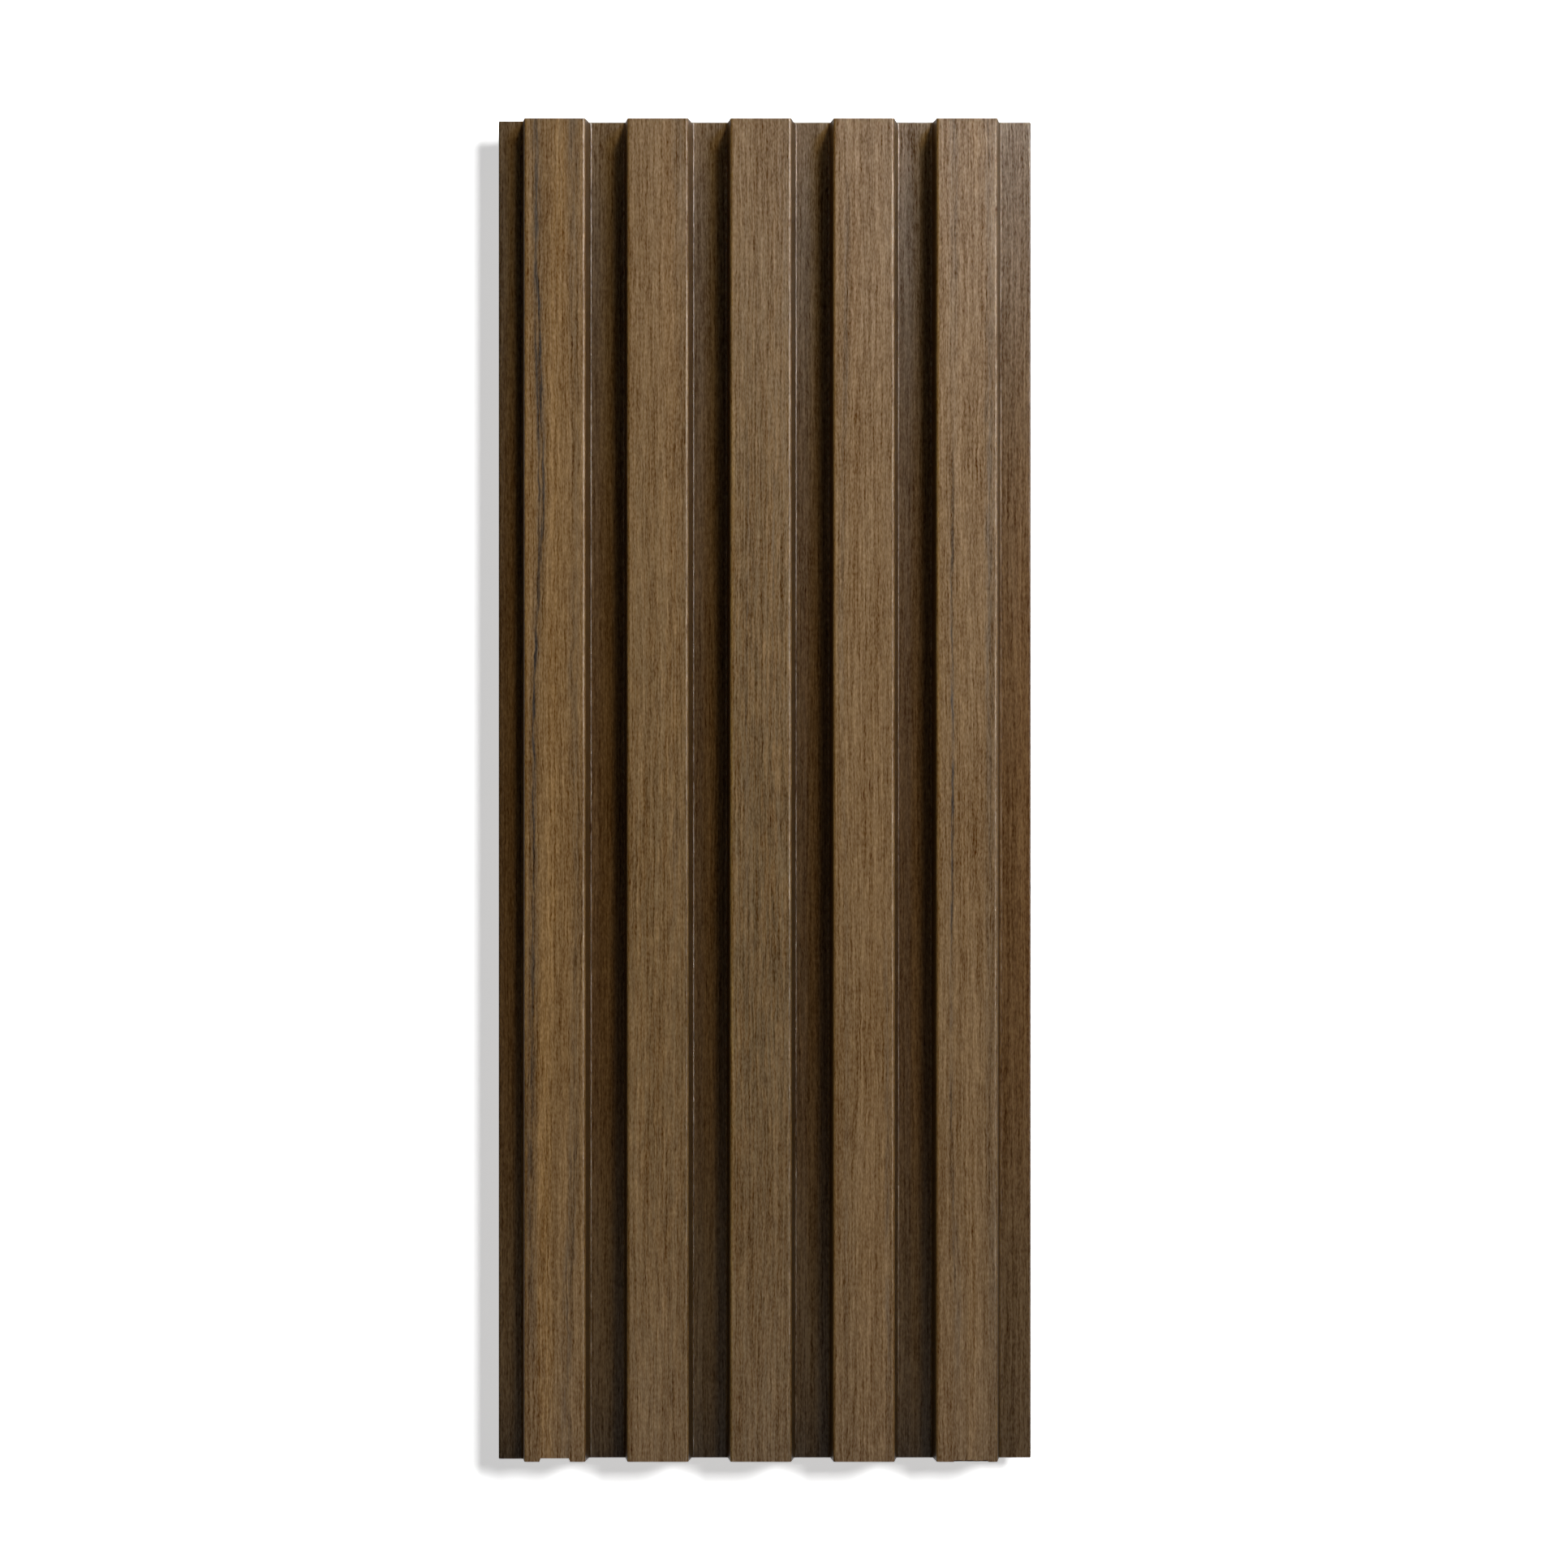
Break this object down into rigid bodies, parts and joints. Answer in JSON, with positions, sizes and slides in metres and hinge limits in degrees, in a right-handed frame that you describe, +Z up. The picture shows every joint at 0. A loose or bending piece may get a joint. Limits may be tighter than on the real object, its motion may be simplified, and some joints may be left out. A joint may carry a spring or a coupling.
{
  "type": "wall cladding panel",
  "caption": "Fluted wall cladding panel: a hollow extruded board with square ribs, a cover lip along one side and a fixing flange along the other, in a walnut wood-grain finish.",
  "frame": {"origin": "middle of the back face, across the board's whole width and height", "axes": "+Z up along the ribs, +Y out of the back face towards the wall, so the ribbed front faces -Y"},
  "size_m": [0.219, 0.026, 0.55],
  "materials": {
    "wood_grain_composite": "walnut wood grain, embossed, satin"
  },
  "bodies": {
    "root": {"cladding_panel": "wood_grain_composite"}
  },
  "joints": []
}
